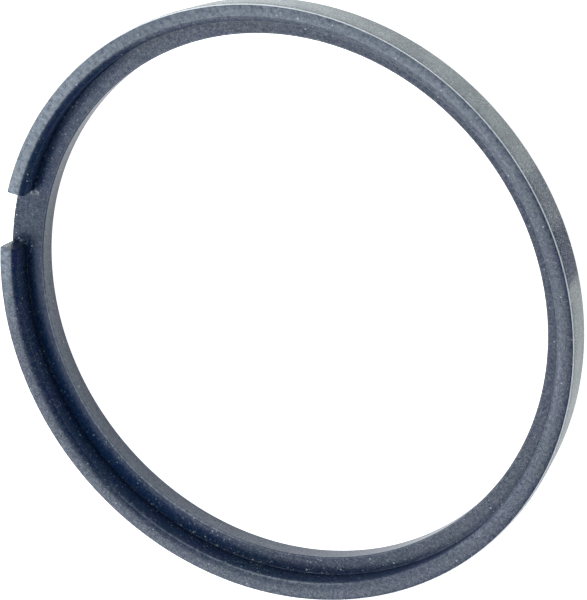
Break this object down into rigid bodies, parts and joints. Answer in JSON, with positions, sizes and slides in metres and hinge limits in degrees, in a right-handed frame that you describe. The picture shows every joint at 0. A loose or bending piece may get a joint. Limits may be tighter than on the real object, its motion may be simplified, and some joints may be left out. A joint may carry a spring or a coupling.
{
  "type": "milk claw seal",
  "caption": "Moulded rubber ring seal of L-shaped section, with a flared lip around a recess for a bowl rim and a locating notch through the lip.",
  "frame": {"origin": "on the ring's axis, in the plane of the back face that it lies on", "axes": "+Z along the ring's axis, from the back face towards the open rim of the lip; +X from the axis towards the notch in the lip"},
  "size_m": [0.0997, 0.1, 0.007],
  "materials": {
    "rubber": "satin moulded rubber, dark blue-black, with fine white dust in the surface"
  },
  "bodies": {
    "root": {"seal_ring": "rubber"}
  },
  "joints": []
}
